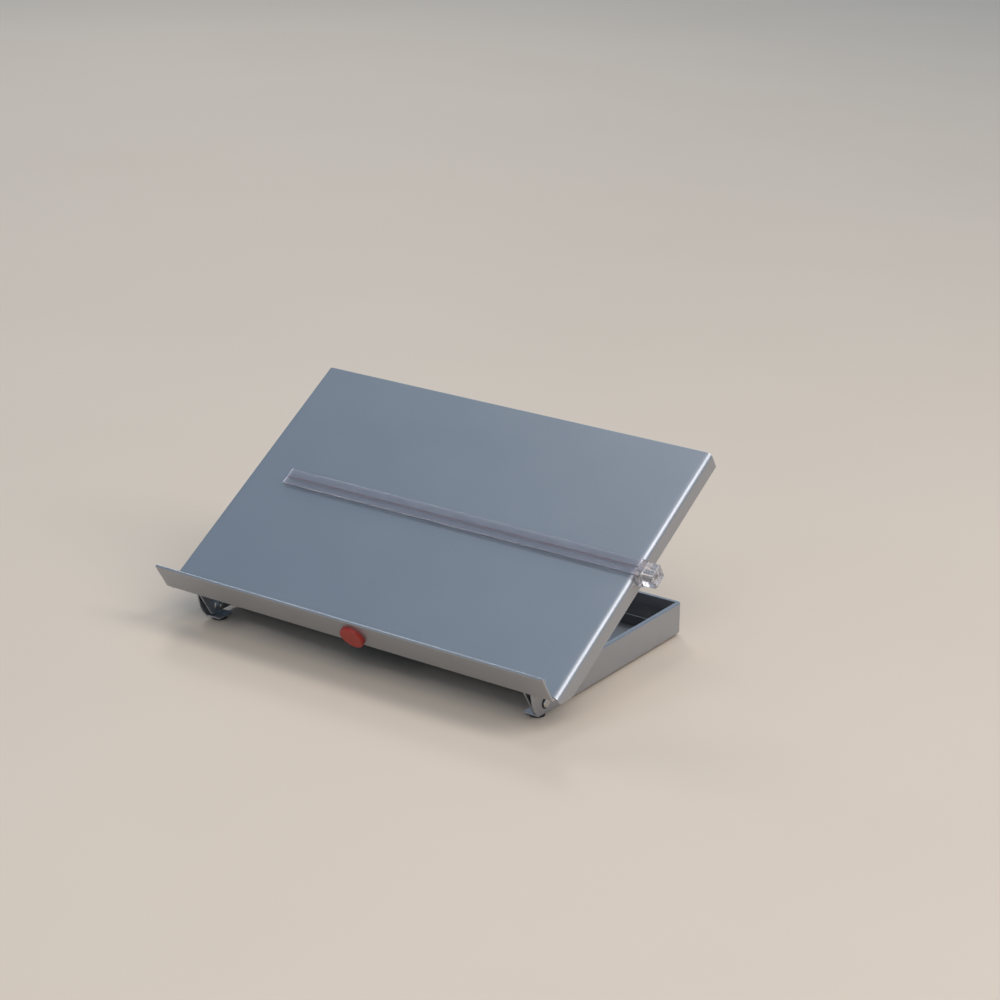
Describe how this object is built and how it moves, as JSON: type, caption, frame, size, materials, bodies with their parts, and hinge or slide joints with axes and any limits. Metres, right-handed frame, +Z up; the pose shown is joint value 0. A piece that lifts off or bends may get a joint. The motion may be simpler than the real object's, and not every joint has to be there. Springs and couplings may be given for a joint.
{
  "type": "document holder",
  "caption": "Sloping folded-steel document board with a front ledge, sliding clear line guide and magnet, hinged on a low base with a drawer.",
  "frame": {"origin": "middle of the whole object's footprint, on the desk", "axes": "+X to the user's right, +Y to the rear, +Z up"},
  "size_m": [0.394, 0.2338, 0.1614],
  "materials": {
    "painted_steel": "satin silver-grey powder coat",
    "plated_steel": "bright zinc plating",
    "black_nylon": "matte black",
    "white_nylon": "natural white",
    "rubber": "matte",
    "clear_acrylic": "clear, polished",
    "red_ink": "red ink in a groove",
    "red_plastic": "satin red",
    "ferrite": "dull black"
  },
  "bodies": {
    "base": {"base_tray": "painted_steel", "rubber_feet": "rubber", "drawer_glides": "white_nylon", "drawer_runner_left": "painted_steel", "drawer_runner_right": "painted_steel", "hinge_bolt_left": "plated_steel", "hinge_bolt_right": "plated_steel", "hinge_bush_left": "black_nylon", "hinge_bush_right": "black_nylon", "friction_washer_left": "black_nylon", "friction_washer_right": "black_nylon", "spring_washer_left": "plated_steel", "spring_washer_right": "plated_steel", "lock_nut_left": "plated_steel", "lock_nut_right": "plated_steel"},
    "drawer": {"drawer_tray": "painted_steel", "drawer_front": "painted_steel", "drawer_pull": "painted_steel", "drawer_catch": "white_nylon"},
    "board": {"board_panel": "painted_steel", "hinge_lug_left": "painted_steel", "hinge_lug_right": "painted_steel", "bump_stops": "rubber"},
    "guide": {"guide_ruler": "clear_acrylic", "guide_line": "red_ink", "guide_carriage": "clear_acrylic", "pressure_pad": "white_nylon"},
    "knob": {"guide_knob": "clear_acrylic", "knob_screw": "plated_steel"},
    "magnet": {"magnet_cap": "red_plastic", "magnet_ferrite": "ferrite"}
  },
  "joints": [
    {"name": "board_tilt", "type": "hinge", "parent": "base", "child": "board", "pos_m": [-0.0078, -0.07586, 0.0115], "axis": [1, 0, 0], "range_deg": [-32.2, 6.8]},
    {"name": "drawer_slide", "type": "slide", "parent": "base", "child": "drawer", "axis": [0, -1, 0], "range_m": [0, 0.118]},
    {"name": "guide_slide", "type": "slide", "parent": "board", "child": "guide", "axis": [0, 0.8462, 0.5329], "range_m": [-0.1, 0.105]},
    {"name": "knob_turn", "type": "hinge", "parent": "guide", "child": "knob", "pos_m": [0.1864, 0.00946, 0.09407], "axis": [1, 0, 0], "range_deg": [0, 270]},
    {"name": "magnet_slide", "type": "slide", "parent": "board", "child": "magnet", "axis": [1, 0, 0], "range_m": [-0.18, 0.165]}
  ]
}
